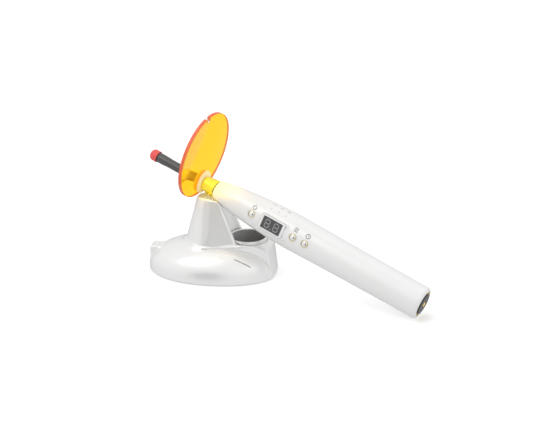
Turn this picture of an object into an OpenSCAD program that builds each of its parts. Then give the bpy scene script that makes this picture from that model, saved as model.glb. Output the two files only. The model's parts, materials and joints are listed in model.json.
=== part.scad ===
// Cordless dental curing light: pen handpiece lying in the cradle of its charging base.
// Base frame: X along the base (rear block at -X, dock at +X), Z up, origin under the middle of the base.
// Pen frame: Z along the pen towards the tip, zero at the seam between ferrule and body, buttons face +X.

/* [Handpiece] */
// Length of the body from the ferrule seam to the tail edge
body_len = 198.6; // [190:0.1:210]
// Radius of the body at the ferrule seam
body_nose_r = 7.5; // [7.4:0.1:8]
// Radius of the body at its belly
body_belly_r = 15.05; // [15:0.05:15.6]
// Radius of the body at the tail
body_tail_r = 13.6; // [13.4:0.1:14]
// Distance of the belly from the seam
belly_at = 80; // [70:1:90]
// Wall thickness of the body
body_wall = 1.8; // [1.4:0.1:2]
// Distance of the power button from the seam
power_at = 41.5; // [40:0.1:42]
// Distance of the mode button from the seam
mode_at = 82.3; // [81:0.1:84]
// Distance of the time button from the seam
time_at = 93.6; // [92:0.1:95]
// Travel of each push button
button_travel = 0.5; // [0.3:0.1:0.5]

/* [Light guide and shield] */
// Diameter of the light guide
guide_d = 7.9; // [7.7:0.1:8]
// Distance of the guide's end beyond the seam
guide_reach = 67; // [64:0.1:68]
// Radius of the amber shield
shield_r = 37.4; // [34:0.1:40]
// Thickness of the amber shield
shield_t = 3; // [2.5:0.1:3]
// Distance of the grommet from the middle of the shield
shield_offset = 27.3; // [24:0.1:27.5]
// Turn of the shield about the guide
shield_turn = 63; // [55:1:75]
// Lean of the shield on its grommet
shield_lean = 4.6; // [0:0.1:5]

/* [Base] */
// Greatest width of the base
base_w = 74; // [72:1:76]
// Reach of the dome behind the origin
dome_rear = 53; // [52:0.5:54]
// Reach of the dome ahead of the origin, before the end is cut
dome_front = 59.5; // [58:0.5:61]
// Height of the dome
dome_h = 27.3; // [26:0.1:28]
// Height of the cradle tower
tower_h = 67.3; // [66:0.1:68]
// Lean of the dock towards the tower
dock_lean = 19; // [17:0.5:19]
// Radius of the dock's bore
dock_r = 13.95; // [13.9:0.05:14.05]
// Depth of the dock along its own axis
dock_depth = 16; // [14:0.5:16]

/* [Hidden] */
$fn = 96;

// Pose of the lying handpiece
seam_pos = [6.6, 0.5, 72.1];
pen_yaw = 161.2;
pen_tilt = 72.5;
pen_roll = 106;

// Body sections
nose_power = 0.65;
tail_power = 1.6;
tail_round = 2.7;
tail_bore_r = 10.9;
socket_r = 6.8;
socket_len = 16.6;
cavity_from = 18;
tail_wall_from = 189;

// Display
display_mid = 62;
pad_size = [26, 14.4];
pad_mid = 63.4;
pad_top = 14.75;
bezel_size = [22.7, 12.8];
bezel_top = 15.9;
bezel_bottom = 11.4;
face_size = [18, 10.3];
face_top = 15.4;
face_t = 1.4;
digit_w = 4.6;
digit_h = 7.4;
digit_pitch = 8.2;
segment_w = 0.75;
segment_t = 0.5;
segment_proud = 0.05;
pcb_top = 7.5;
pcb_t = 1.2;

// Buttons
ring_r = 3.35;
ring_bore = 2.6;
cap_r = 2.5;
ring_proud = 0.35;
ring_depth = 2.2;
cap_proud = 0.95;
cap_depth = 1.6;
stem_r = 1.1;
stem_end = 11.1;
mode_angle = 50;
mode_marks = [54, 61.1, 68];
board_mid = 69;
board_len = 86;
chip_at = 104;
mode_lens_r = 0.95;

// Guide
guide_r = guide_d / 2;
core_r = guide_r - 0.7;
ferrule_front = 12.8;
ferrule_front_r = 6.25;
spigot_r = 4.95;
spigot_len = 10;
cap_front = guide_reach + 1.7;
cap_back = cap_front - 7.6;
cap_outer_r = 4.95;
swell_from = 50;

// Shield grommet
grommet_back = 13.2;
flange_r = 9.9;
flange_t = 1.75;
disc_from = grommet_back + flange_t + 0.1;
hub_mid = disc_from + shield_t / 2;
lean_axis = [cos(16.5), sin(16.5), 0];
ferrule_gap = 0.2;
waist_r = 8.2;

// Base
floor_gap = 0.6;
shell_wall = 2.2;
plan_power = 2.1;
dome_power = 2.5;
dome_rise = 0.0022;
tower_x = -2;
tower_top_x = -0.5;
tower_top_r = 10.2;
tower_edge = [23.8, 15];
tower_corner = [9.8, 9.2];
tower_foot_r = 19.3;
tower_foot_z = 24;
rim_z = 30;
dock_mouth = [32.5, 0, 33];
dock_rim_r = 16.6;
dock_chamfer = 2.3;
end_half_w = 13;
end_top = 24.8;
end_r = 89.5;
end_x = -32.3;
end_slope = 0.128;
block_rear = 51.8;
block_half_w = 7;
block_top = 18.7;
status_x = [-50.2, -44.9];
status_r = 0.9;
liner_r = 15;
lip_z = 33;
cradle_r = 11.8;
hub_relief = 0.6;
cradle_at = [9.5, 0, 72.4];
cradle_pitch = 17.3;
pen_gap = 0.5;
inlet_z = 10.5;
contact_r = 10;
slot_from = [25.8, -25.3, 21.2];
slot_to = [40.2, -24.65, 14.7];
slot_w = 0.8;
screw_spots = [[34, 23], [34, -23], [-29, 20], [-29, -20]];

silver = [0.88, 0.88, 0.87];
white = [0.93, 0.93, 0.92];
gold = [0.93, 0.74, 0.2];

// Outer radius of the body at distance s behind the seam
function body_r(s) =
    s < belly_at
    ? body_nose_r + (body_belly_r - body_nose_r) * pow(sin(90 * s / belly_at), nose_power)
    : body_tail_r + (body_belly_r - body_tail_r)
      * pow(max(0, (body_len - 5 - s) / (body_len - 5 - belly_at)), tail_power);

// Signed power, for superellipse outlines
function spow(v, p) = sign(v) * pow(abs(v), p);

// Plan of the dome, shrunk by inset
function plan_point(a, inset) =
    let (c = spow(cos(a), 2 / plan_power), s = spow(sin(a), 2 / plan_power),
         reach = cos(a) > 0 ? dome_front : dome_rear)
    [(reach - inset) * c, (base_w / 2 - inset) * s];

module in_pen() {
    translate(seam_pos) rotate([0, 0, pen_yaw]) rotate([0, pen_tilt, 0]) rotate([0, 0, pen_roll])
        children();
}

module in_dock() {
    translate(dock_mouth) rotate([0, -dock_lean, 0]) children();
}

// Places children at distance s behind the seam with +Z pointing out of the button side
module on_pen(s, angle = 0) {
    rotate([0, 0, angle]) translate([0, 0, -s]) rotate([0, 90, 0]) children();
}

// ---------------------------------------------------------------- base

module dome(inset, rings, sides) {
    h = dome_h - inset;
    pts = [for (i = [0 : rings - 1])
               let (lift = sin(90 * i / rings), k = pow(1 - pow(lift, dome_power), 1 / dome_power))
               for (j = [0 : sides - 1])
                   let (p = plan_point(360 * j / sides, inset))
                   [p[0] * k, p[1] * k, floor_gap + h * lift * (1 + dome_rise * p[0] * k)]];
    top = rings * sides;
    walls = [for (i = [0 : rings - 2]) for (j = [0 : sides - 1])
                 let (n = (j + 1) % sides)
                 [i * sides + j, (i + 1) * sides + j, (i + 1) * sides + n, i * sides + n]];
    last = (rings - 1) * sides;
    crown = [for (j = [0 : sides - 1]) [last + j, top, last + (j + 1) % sides]];
    polyhedron(points = concat(pts, [[0, 0, floor_gap + h]]),
               faces = concat([[for (j = [0 : sides - 1]) j]], walls, crown));
}

module spine(inset) {
    hull() {
        translate([dock_mouth[0], 0, 0]) cylinder(r = dock_rim_r - inset, h = rim_z - inset);
        translate([tower_x, 0, 0]) cylinder(r = tower_foot_r - inset, h = tower_foot_z - inset);
        for (side = [-1, 1])
            translate([54, side * (end_half_w - inset), 0])
                cylinder(r = 1.6, h = end_top - inset, $fn = 32);
    }
}

module tower(inset) {
    hull() {
        translate([tower_top_x, 0, tower_h - 1 - inset]) cylinder(r = tower_top_r - 0.9 - inset, h = 1);
        translate([tower_top_x, 0, tower_h - 3 - inset]) cylinder(r = tower_top_r - inset, h = 1.1);
        translate([tower_x, 0, 0]) cylinder(r = tower_foot_r - inset, h = tower_foot_z);
        for (side = [-1, 1]) {
            translate([tower_corner[0] - inset, side * (tower_corner[1] - inset), tower_h - 3 - inset])
                cylinder(r = 1.2, h = 1.5, $fn = 32);
            translate([tower_edge[0] - inset, side * (tower_edge[1] - inset), 0])
                cylinder(r = 1.2, h = rim_z + 1, $fn = 32);
        }
    }
}

module rear_block(inset) {
    translate([-block_rear + inset, -block_half_w + inset, 0])
        cube([30, 2 * (block_half_w - inset), block_top - inset]);
}

// Everything ahead of this leaning round end is cut away
module end_cone(inset) {
    translate([end_x, 0, 0])
        cylinder(r1 = end_r - inset, r2 = end_r - inset - 80 * end_slope, h = 80, $fn = 180);
}

module base_solid(inset, rings, sides) {
    intersection() {
        union() {
            dome(inset, rings, sides);
            difference() {
                union() {
                    spine(inset);
                    tower(inset);
                    rear_block(inset);
                }
                translate([-100, -100, -1]) cube([200, 200, 1 + floor_gap]);
            }
        }
        end_cone(inset);
    }
}

module slot_slab(extra) {
    run = slot_to - slot_from;
    turn = atan2(run[1], run[0]);
    fall = atan2(-run[2], norm([run[0], run[1]]));
    translate(slot_from) rotate([0, fall, turn])
        translate([-extra, -8, -slot_w / 2 - extra])
            cube([norm(run) + 2 * extra, 16, slot_w + 2 * extra]);
}

module base_shell() {
    color(silver)
        difference() {
            base_solid(0, 14, 96);
            difference() {
                base_solid(shell_wall, 8, 48);
                in_dock() translate([0, 0, -dock_depth - 4]) cylinder(r = liner_r + 1.2, h = 90);
                for (p = screw_spots)
                    translate([p[0], p[1], 3.4]) cylinder(r = 3, h = 30, $fn = 48);
                translate([-36, -block_half_w, block_top - 7]) cube([10, 2 * block_half_w, 20]);
            }
            translate([0, 0, -1]) linear_extrude(4.2) base_plan(shell_wall - 0.6);
            dock_space();
            in_dock() translate([0, 0, -1]) cylinder(r = dock_r + 0.35, h = 60);
            translate(cradle_at) rotate([0, -90 + cradle_pitch, 0])
                translate([0, 0, -30]) cylinder(r = cradle_r, h = 70);
            in_pen() translate([0, 0, -12])
                cylinder(r1 = body_r(12) + pen_gap, r2 = body_r(2) + pen_gap, h = 12);
            in_pen() translate([0, 0, ferrule_front - 1]) cylinder(r = flange_r + hub_relief, h = 20);
            translate([-block_rear - 1, 0, inlet_z]) rotate([0, 90, 0]) cylinder(r = 4.05, h = 6);
            for (x = status_x)
                translate([x, 0, block_top - 4]) cylinder(r = status_r + 0.05, h = 6, $fn = 48);
            for (p = screw_spots)
                translate([p[0], p[1], 3]) cylinder(r = 1.2, h = 9, $fn = 48);
            slot_slab(0.03);
        }
}

// Bore for the liner, ending level at the lip
module dock_space() {
    intersection() {
        in_dock() translate([0, 0, -dock_depth - 6]) cylinder(r = liner_r + 0.03, h = 60);
        translate([-20, -60, -1]) cube([120, 120, lip_z + 1]);
    }
}

module base_plan(inset) {
    intersection() {
        polygon([for (j = [0 : 95]) plan_point(360 * j / 96, inset)]);
        translate([end_x, 0]) circle(r = end_r - inset - 0.4, $fn = 180);
    }
}

module base_plate() {
    color([0.35, 0.35, 0.36])
        difference() {
            translate([0, 0, 1]) linear_extrude(2) base_plan(shell_wall - 0.55);
            translate([0, 0, 0.9]) linear_extrude(0.5) pad_plan(0.05);
            for (p = screw_spots)
                translate([p[0], p[1], 0]) cylinder(r = 1.55, h = 5, $fn = 48);
            for (p = screw_spots)
                translate([p[0], p[1], 0]) cylinder(r = 2.8, h = 2, $fn = 48);
        }
}

module pad_plan(extra) {
    hull()
        for (x = [-26, 26])
            translate([x, 0]) circle(r = 15 + extra, $fn = 96);
}

module anti_slip_pad() {
    color([0.12, 0.12, 0.12]) linear_extrude(1.4) pad_plan(0);
}

module base_screws() {
    color([0.7, 0.7, 0.72])
        for (p = screw_spots)
            translate([p[0], p[1], 0])
                difference() {
                    union() {
                        translate([0, 0, 0.9]) cylinder(r = 2.7, h = 1.1, $fn = 48);
                        translate([0, 0, 1.9]) cylinder(r = 1.19, h = 8.5, $fn = 48);
                    }
                    for (a = [0, 90])
                        rotate([0, 0, a]) translate([-1.6, -0.3, 0.8]) cube([3.2, 0.6, 0.8]);
                }
}

module ballast_weight() {
    color([0.45, 0.45, 0.47])
        difference() {
            translate([-25, -17, 3.1]) cube([42, 34, 6]);
            for (x = [-18, 10])
                translate([x, 0, 0]) cylinder(r = 2, h = 20, $fn = 48);
        }
}

module charging_board() {
    color([0.1, 0.42, 0.2]) translate([20, -13, 3.8]) cube([31, 26, 1.4]);
    color([0.12, 0.12, 0.12]) translate([24, -10, 5.2]) cube([7, 5, 1.6]);
    color([0.3, 0.3, 0.32]) translate([25, 5, 5.2]) cylinder(r = 3.2, h = 3, $fn = 48);
    color([0.75, 0.68, 0.5]) translate([44, -9, 5.2]) cube([3, 1.8, 1]);
    color([0.75, 0.68, 0.5]) translate([44, -5, 5.2]) cube([3, 1.8, 1]);
}

module dock_cup() {
    color([0.8, 0.8, 0.79])
        difference() {
            union() {
                intersection() {
                    in_dock() translate([0, 0, -dock_depth - 2]) cylinder(r = liner_r, h = 40);
                    translate([-20, -60, 0]) cube([120, 120, lip_z]);
                }
                for (y = [0, contact_r])
                    in_dock() translate([0, y, -dock_depth - 9]) cylinder(r = 2.6, h = 8, $fn = 48);
            }
            in_dock() translate([0, 0, dock_chamfer - dock_depth]) cylinder(r = dock_r, h = 60);
            in_dock() translate([0, 0, -dock_depth])
                cylinder(r1 = dock_r - dock_chamfer, r2 = dock_r, h = dock_chamfer);
            for (y = [0, contact_r]) {
                in_dock() translate([0, y, -dock_depth - 8]) cylinder(r = 1.7, h = 6.8, $fn = 48);
                in_dock() translate([0, y, -dock_depth - 3]) cylinder(r = 1.05, h = 5, $fn = 48);
            }
        }
}

module contact_pin() {
    translate([0, 0, -dock_depth])
        rotate_extrude($fn = 48)
            polygon([[0, -3.6], [1.6, -3.6], [1.6, -2.4], [1, -2.4],
                     [1, 1.4], [0.8, 1.9], [0.4, 2.1], [0, 2.1]]);
}

module centre_pin() {
    color(gold) in_dock() contact_pin();
}

module ring_pin() {
    color(gold) in_dock() translate([0, contact_r, 0]) contact_pin();
}

// Compression spring as one swept tube
module coil(r, wire, height, turns) {
    steps = 12 * turns;
    sides = 6;
    pts = [for (i = [0 : steps]) let (a = 360 * turns * i / steps)
               for (j = [0 : sides - 1]) let (b = 360 * j / sides, q = r + wire * cos(b))
                   [q * cos(a), q * sin(a), wire + (height - 2 * wire) * i / steps + wire * sin(b)]];
    walls = [for (i = [0 : steps - 1]) for (j = [0 : sides - 1])
                 let (n = (j + 1) % sides)
                 [i * sides + j, i * sides + n, (i + 1) * sides + n, (i + 1) * sides + j]];
    polyhedron(points = pts,
               faces = concat([[for (j = [sides - 1 : -1 : 0]) j]], walls,
                              [[for (j = [0 : sides - 1]) steps * sides + j]]));
}

module contact_springs() {
    color([0.75, 0.75, 0.78])
        for (y = [0, contact_r])
            in_dock() translate([0, y, -dock_depth - 7.95]) coil(1.25, 0.2, 4.3, 5);
}

module dc_inlet() {
    color([0.12, 0.12, 0.13])
        difference() {
            union() {
                translate([-block_rear + 2.4, -4.5, inlet_z - 5]) cube([13, 9, 10]);
                translate([-block_rear + 0.2, 0, inlet_z]) rotate([0, 90, 0]) cylinder(r = 4, h = 3);
            }
            translate([-block_rear, 0, inlet_z]) rotate([0, 90, 0]) cylinder(r = 2.8, h = 10);
        }
    color([0.8, 0.8, 0.8])
        translate([-block_rear + 2, 0, inlet_z]) rotate([0, 90, 0]) cylinder(r = 0.95, h = 9, $fn = 48);
}

module indicator_window() {
    color([0.3, 0.32, 0.33])
        intersection() {
            slot_slab(0);
            difference() {
                dome(-0.05, 14, 96);
                dome(1.6, 8, 48);
            }
        }
}

module status_lenses() {
    color([0.8, 0.85, 0.85])
        for (x = status_x)
            translate([x, 0, block_top - 2.2]) cylinder(r = status_r, h = 2.35, $fn = 48);
}

// ---------------------------------------------------------------- handpiece

module body_outline(inset, from, to, step) {
    stations = concat([for (s = [from : step : to - 0.1]) s], [to]);
    polygon(concat([[0, -from]], [for (s = stations) [body_r(s) - inset, -s]], [[0, -to]]));
}

module body_solid() {
    rotate_extrude()
        difference() {
            body_outline(0, 0, body_len, 4);
            difference() {
                translate([body_tail_r - tail_round, -body_len - 1]) square([10, 1 + tail_round]);
                translate([body_tail_r - tail_round, -body_len + tail_round])
                    circle(r = tail_round, $fn = 64);
            }
        }
}

module display_block(size, from, to, mid, round_r) {
    on_pen(mid)
        translate([0, 0, from])
            linear_extrude(to - from)
                for (cut = [[2 * round_r, 0], [0, 2 * round_r]])
                    square(size - cut, center = true);
    on_pen(mid)
        for (x = [-1, 1], y = [-1, 1])
            translate([x * (size[0] / 2 - round_r), y * (size[1] / 2 - round_r), from])
                cylinder(r = round_r, h = to - from, $fn = 32);
}

module body_shell() {
    color(white)
        in_pen()
            difference() {
                union() {
                    body_solid();
                    display_block(pad_size, 8, pad_top, pad_mid, 2.2);
                }
                rotate_extrude() body_outline(body_wall, cavity_from, tail_wall_from, 4);
                translate([0, 0, -cavity_from - 1]) cylinder(r = socket_r + 0.03, h = 30);
                translate([0, 0, -body_len - 1]) cylinder(r = tail_bore_r, h = 14);
                display_block([bezel_size[0] + 0.06, bezel_size[1] + 0.06], 5, 30, display_mid, 1.6);
                for (s = [power_at, mode_at, time_at])
                    on_pen(s) translate([0, 0, 5]) cylinder(r = ring_r + 0.03, h = 20);
                for (s = mode_marks)
                    on_pen(s, mode_angle)
                        translate([0, 0, 5]) cylinder(r = mode_lens_r + 0.03, h = 20, $fn = 48);
            }
}

module display_bezel() {
    color(white)
        in_pen()
            difference() {
                display_block(bezel_size, bezel_bottom, bezel_top, display_mid, 1.6);
                display_block([face_size[0] + 0.06, face_size[1] + 0.06], 5, 30, display_mid, 0.4);
            }
}

module segment_bar(x, y, length, turn) {
    translate([x, y, 0]) rotate([0, 0, turn])
        linear_extrude(segment_t + segment_proud)
            polygon([[-length / 2, 0], [-length / 2 + segment_w / 2, segment_w / 2],
                     [length / 2 - segment_w / 2, segment_w / 2], [length / 2, 0],
                     [length / 2 - segment_w / 2, -segment_w / 2],
                     [-length / 2 + segment_w / 2, -segment_w / 2]]);
}

// One seven-segment digit, upright along local Y
module digit() {
    half_w = digit_w / 2 - segment_w / 2;
    quarter = (digit_h - segment_w) / 4;
    for (y = [-2 * quarter, 0, 2 * quarter])
        segment_bar(0, y, 2 * half_w - 0.3, 0);
    for (x = [-half_w, half_w], y = [-quarter, quarter])
        segment_bar(x, y, 2 * quarter - 0.3, 90);
}

module all_digits() {
    on_pen(display_mid)
        translate([0, 0, face_top - segment_t]) {
            for (x = [-0.5, 0.5])
                translate([x * digit_pitch, 0, 0]) digit();
            translate([0, -digit_h / 2 + 0.4, 0])
                cylinder(r = 0.45, h = segment_t + segment_proud, $fn = 32);
        }
}

module display_face() {
    color([0.25, 0.25, 0.27])
        in_pen()
            difference() {
                display_block(face_size, face_top - face_t, face_top, display_mid, 0.4);
                all_digits();
            }
}

module display_segments() {
    color([0.65, 0.65, 0.66]) in_pen() all_digits();
}

module display_module() {
    color([0.15, 0.15, 0.16])
        in_pen()
            display_block([17.6, 9.8], pcb_top, face_top - face_t, display_mid, 0.4);
}

module button_rings() {
    color([0.8, 0.76, 0.66])
        in_pen()
            for (s = [power_at, mode_at, time_at])
                on_pen(s) translate([0, 0, body_r(s) - ring_depth])
                    difference() {
                        rotate_extrude($fn = 64)
                            polygon([[0, 0], [ring_r, 0], [ring_r, ring_depth + ring_proud - 0.3],
                                     [ring_r - 0.3, ring_depth + ring_proud],
                                     [0, ring_depth + ring_proud]]);
                        translate([0, 0, -1]) cylinder(r = ring_bore, h = 10, $fn = 64);
                    }
}

// Domed metal button with a stem reaching down to its switch
module button(s) {
    crown_r = 4.2;
    top = body_r(s) + cap_proud;
    color([0.86, 0.85, 0.82])
        in_pen() on_pen(s) {
            intersection() {
                translate([0, 0, body_r(s) - cap_depth]) cylinder(r = cap_r, h = 10, $fn = 64);
                translate([0, 0, top - crown_r]) sphere(r = crown_r, $fn = 64);
            }
            translate([0, 0, stem_end])
                cylinder(r = stem_r, h = body_r(s) - cap_depth + 0.2 - stem_end, $fn = 48);
        }
}

module power_button() {
    button(power_at);
}

module mode_button() {
    button(mode_at);
}

module time_button() {
    button(time_at);
}

module tact_switches() {
    color([0.2, 0.2, 0.22])
        in_pen()
            for (s = [power_at, mode_at, time_at])
                on_pen(s) {
                    translate([-2.6, -2.6, pcb_top]) cube([5.2, 5.2, 2]);
                    translate([0, 0, pcb_top + 2])
                        cylinder(r = 1.1, h = stem_end - button_travel - 0.05 - pcb_top - 2, $fn = 48);
                }
}

module mode_lenses() {
    color([0.85, 0.87, 0.85])
        in_pen()
            for (s = mode_marks)
                on_pen(s, mode_angle) translate([0, 0, body_r(s) - 2])
                    cylinder(r = mode_lens_r, h = 2.05, $fn = 48);
}

module circuit_board() {
    color([0.1, 0.42, 0.2])
        in_pen() on_pen(board_mid)
            translate([-board_len / 2, -6.4, pcb_top - pcb_t]) cube([board_len, 12.8, pcb_t]);
    color([0.12, 0.12, 0.12])
        in_pen() on_pen(chip_at) translate([-4, -3.5, pcb_top]) cube([8, 7, 1.4]);
    color([0.7, 0.62, 0.45])
        in_pen()
            for (x = [-3, 0, 3])
                on_pen(46 + x) translate([-0.8, -5.6, pcb_top - pcb_t - 1]) cube([1.6, 2.6, 1]);
}

module guide_socket() {
    color([0.78, 0.78, 0.8])
        in_pen()
            difference() {
                translate([0, 0, -0.5 - socket_len]) cylinder(r = socket_r, h = socket_len);
                translate([0, 0, -0.5 - socket_len - 1])
                    cylinder(r = spigot_r + 0.05, h = socket_len + 2);
            }
}

module collimator_lens() {
    color([0.8, 0.9, 0.95])
        in_pen() translate([0, 0, -17])
            rotate_extrude($fn = 64)
                polygon([[1.6, 0], [4.2, 0], [4.9, 4.6], [4.9, 5.6], [0, 6.2], [0, 2.2], [1.6, 1.6]]);
}

module led_emitter() {
    color([0.9, 0.9, 0.88]) in_pen() translate([0, 0, -18.6]) cylinder(r = 6.4, h = 1.4, $fn = 64);
    color([0.95, 0.85, 0.4]) in_pen() translate([0, 0, -17.3]) cylinder(r = 1.4, h = 1.3, $fn = 48);
}

module heat_sink() {
    color([0.7, 0.7, 0.72])
        in_pen()
            difference() {
                translate([0, 0, -26]) cylinder(r = 7.8, h = 7.3);
                for (k = [-2 : 2])
                    translate([-10, k * 2.8 - 0.6, -27]) cube([20, 1.2, 5]);
            }
}

module battery_stop() {
    color([0.85, 0.85, 0.8])
        in_pen()
            difference() {
                translate([0, 0, -121]) cylinder(r = 12.3, h = 3);
                translate([0, 0, -130]) cylinder(r = 2, h = 20, $fn = 48);
                for (a = [0, 180])
                    rotate([0, 0, a]) translate([8, -2, -130]) cube([6, 4, 20]);
            }
}

module battery_cell() {
    color([0.16, 0.4, 0.7])
        in_pen() {
            translate([0, 0, -187]) cylinder(r = 9.2, h = 65);
            translate([0, 0, -122.1]) cylinder(r = 2.8, h = 1.05, $fn = 48);
        }
}

module battery_spring() {
    color([0.75, 0.75, 0.78]) in_pen() translate([0, 0, -191.5]) coil(5, 0.4, 4.45, 4);
}

module contact_ring() {
    color(gold)
        in_pen() translate([0, 0, -body_len + 0.4])
            difference() {
                cylinder(r = tail_bore_r - 0.03, h = 2);
                translate([0, 0, -1]) cylinder(r = 9.15, h = 5);
            }
}

module tail_plug() {
    color([0.1, 0.1, 0.11])
        in_pen() translate([0, 0, -body_len])
            difference() {
                rotate_extrude()
                    polygon([[0, 7], [10.8, 7], [10.8, 5.4], [9.7, 5.4],
                             [9.7, 3.6], [10.8, 3.6], [10.8, 2.5], [9.1, 2.5],
                             [9.1, -0.3], [8.7, -0.8], [0, -0.85]]);
                translate([0, 0, -5]) cylinder(r = 2.2, h = 20, $fn = 64);
            }
}

module tail_contact() {
    color(gold)
        in_pen() translate([0, 0, -body_len - 1.1])
            rotate_extrude($fn = 64)
                polygon([[0, 0], [1.5, 0], [2.15, 0.6], [2.15, 8], [0, 8]]);
}

module tail_seal() {
    color([0.1, 0.1, 0.1])
        in_pen() translate([0, 0, -body_len + 4.5])
            rotate_extrude() translate([10.3, 0]) circle(r = 0.55, $fn = 32);
}

// ---------------------------------------------------------------- light guide and shield

module guide_oring() {
    color([0.1, 0.1, 0.1])
        in_pen() translate([0, 0, -6]) rotate_extrude() translate([4.62, 0]) circle(r = 0.33, $fn = 32);
}

module guide_ferrule() {
    color(gold)
        in_pen()
            difference() {
                rotate_extrude()
                    polygon([[0, -spigot_len], [4.6, -spigot_len], [spigot_r, -spigot_len + 0.4],
                             [spigot_r, -6.7], [3.9 + 0.35, -6.7], [3.9 + 0.35, -5.3], [spigot_r, -5.3],
                             [spigot_r, 0.25], [body_nose_r - 0.2, 0.25], [body_nose_r - 0.05, 0.6],
                             [6.95, 6], [ferrule_front_r, ferrule_front - 0.5],
                             [ferrule_front_r - 0.5, ferrule_front], [0, ferrule_front]]);
                translate([0, 0, -spigot_len - 1]) cylinder(r = guide_r + 0.02, h = 40);
            }
}

module guide_sleeve() {
    color([0.2, 0.2, 0.21])
        in_pen()
            difference() {
                rotate_extrude()
                    polygon([[0, -spigot_len], [guide_r, -spigot_len],
                             [guide_r, swell_from], [guide_r + 0.4, swell_from + 3.5],
                             [guide_r + 0.4, cap_back - 0.9], [guide_r, cap_back - 0.3],
                             [guide_r, guide_reach], [0, guide_reach]]);
                translate([0, 0, -spigot_len - 1]) cylinder(r = core_r + 0.02, h = 100);
            }
}

module fibre_core() {
    color([0.9, 0.93, 0.95])
        in_pen()
            translate([0, 0, -spigot_len - 0.4])
                cylinder(r = core_r, h = spigot_len + guide_reach + 0.5);
}

// Leans children about the middle of the shield's hub
module on_hub() {
    translate([0, 0, hub_mid]) rotate(shield_lean, lean_axis) translate([0, 0, -hub_mid]) children();
}

module shield_grommet() {
    color([0.93, 0.87, 0.7])
        in_pen()
            difference() {
                on_hub() translate([0, 0, grommet_back])
                    rotate_extrude()
                        polygon([[0, 0], [flange_r - 0.5, 0], [flange_r, 0.5], [flange_r, flange_t],
                                 [waist_r, flange_t], [waist_r, flange_t + shield_t + 0.2],
                                 [flange_r - 0.4, flange_t + shield_t + 0.2],
                                 [flange_r - 0.8, 2 * flange_t + shield_t],
                                 [6.4, 2 * flange_t + shield_t + 1],
                                 [0, 2 * flange_t + shield_t + 1]]);
                cylinder(r = guide_r + 0.05, h = 60);
                translate([0, 0, ferrule_front + ferrule_gap - 3])
                    cylinder(r = ferrule_front_r + 0.3, h = 3);
            }
}

module shield_disc() {
    color([0.98, 0.75, 0.1])
        in_pen() on_hub() rotate([0, 0, shield_turn]) translate([shield_offset, 0, disc_from])
            difference() {
                cylinder(r = shield_r, h = shield_t, $fn = 180);
                translate([-shield_offset, 0, -1]) cylinder(r = waist_r + 0.05, h = 10);
                translate([shield_r - 2, -1.5, -1]) cube([5, 3, 10]);
            }
}

module tip_cap() {
    color([0.93, 0.3, 0.28])
        in_pen()
            difference() {
                rotate_extrude()
                    difference() {
                        translate([0, cap_back]) square([cap_outer_r, cap_front - cap_back]);
                        difference() {
                            translate([cap_outer_r - 3, cap_front - 3]) square([4, 4]);
                            translate([cap_outer_r - 3, cap_front - 3]) circle(r = 3, $fn = 64);
                        }
                    }
                translate([0, 0, cap_back - 1])
                    cylinder(r = guide_r + 0.04, h = guide_reach - cap_back + 1.2);
            }
}

base_shell();
base_plate();
anti_slip_pad();
base_screws();
ballast_weight();
charging_board();
dock_cup();
dc_inlet();
indicator_window();
status_lenses();
centre_pin();
ring_pin();
contact_springs();
body_shell();
display_bezel();
display_face();
display_segments();
display_module();
button_rings();
power_button();
mode_button();
time_button();
tact_switches();
mode_lenses();
circuit_board();
guide_socket();
collimator_lens();
led_emitter();
heat_sink();
battery_stop();
battery_cell();
battery_spring();
contact_ring();
tail_plug();
tail_contact();
tail_seal();
guide_oring();
guide_ferrule();
guide_sleeve();
fibre_core();
shield_grommet();
shield_disc();
tip_cap();
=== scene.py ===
"""Looks of the dental curing light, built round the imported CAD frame. Lengths in the helpers are in millimetres."""
import json
import math

import bmesh
import bpy
import numpy as np
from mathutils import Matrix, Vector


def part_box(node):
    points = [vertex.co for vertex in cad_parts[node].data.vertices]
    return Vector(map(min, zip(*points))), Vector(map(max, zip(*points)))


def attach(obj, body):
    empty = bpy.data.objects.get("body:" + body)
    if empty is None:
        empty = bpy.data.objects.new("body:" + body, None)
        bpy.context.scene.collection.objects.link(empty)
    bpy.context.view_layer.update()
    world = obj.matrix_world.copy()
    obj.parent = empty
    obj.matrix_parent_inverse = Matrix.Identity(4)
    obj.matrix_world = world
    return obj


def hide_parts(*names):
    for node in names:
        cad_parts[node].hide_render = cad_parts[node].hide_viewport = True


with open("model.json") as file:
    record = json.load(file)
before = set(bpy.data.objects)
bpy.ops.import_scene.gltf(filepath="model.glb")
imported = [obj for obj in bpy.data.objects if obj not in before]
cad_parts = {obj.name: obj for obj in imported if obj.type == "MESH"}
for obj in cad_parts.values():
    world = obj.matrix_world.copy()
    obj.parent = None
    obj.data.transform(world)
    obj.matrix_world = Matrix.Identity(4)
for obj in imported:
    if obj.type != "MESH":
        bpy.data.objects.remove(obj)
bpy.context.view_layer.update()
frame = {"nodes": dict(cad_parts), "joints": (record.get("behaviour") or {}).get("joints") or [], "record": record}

import openvdb
from mathutils import Matrix, Vector
from mathutils.bvhtree import BVHTree

MM = 0.001
JOINTS = {j["name"]: j for j in frame["joints"]}
NODES = frame["nodes"]
MOUNTS = {m["name"]: m for m in frame["record"]["mounts"]}


def axes_at(origin, x_axis, z_axis):
    """A millimetre frame at origin (metres), with Z along z_axis and X near x_axis."""
    z = Vector(z_axis).normalized()
    x = Vector(x_axis)
    x = (x - z * x.dot(z)).normalized()
    turn = Matrix((x, z.cross(x), z)).transposed().to_4x4()
    return Matrix.Translation(Vector(origin)) @ turn @ Matrix.Scale(MM, 4)


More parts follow.
